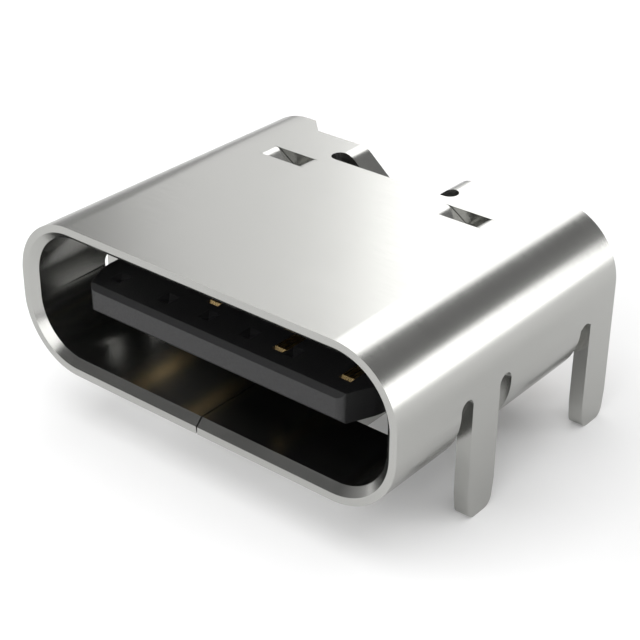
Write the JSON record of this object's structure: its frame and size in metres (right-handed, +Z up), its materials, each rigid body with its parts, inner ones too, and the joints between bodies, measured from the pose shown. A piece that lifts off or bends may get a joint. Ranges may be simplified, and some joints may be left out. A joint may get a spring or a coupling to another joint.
{
  "type": "usb-c socket",
  "caption": "Board-mounted power-only USB-C socket: a folded metal shell with solder stakes, pressed roof lances and bent rear ears round a moulded black tongue with gold contacts.",
  "frame": {"origin": "On the board's top face, midway between the two locating pegs.", "axes": "+X is the width, +Y runs from the mouth to the solder tails, +Z is up, away from the board."},
  "size_m": [0.009, 0.0072, 0.0043],
  "materials": {
    "shell_steel": "nickel-plated stainless strip with a satin rolled grain",
    "black_moulding": "black glass-filled nylon, finely eroded mould finish",
    "carrier_moulding": "black glass-filled nylon, as moulded",
    "latch_steel": "plain stainless strip",
    "gold_contact": "gold-plated copper alloy, satin"
  },
  "bodies": {
    "root": {"metal_shell": "shell_steel", "tongue_mould": "black_moulding", "upper_carrier": "carrier_moulding", "lower_carrier": "carrier_moulding", "latch_plate": "latch_steel", "contact_a5": "gold_contact", "contact_a9": "gold_contact", "contact_a12": "gold_contact", "contact_b5": "gold_contact", "contact_b9": "gold_contact", "contact_b12": "gold_contact"}
  },
  "joints": []
}
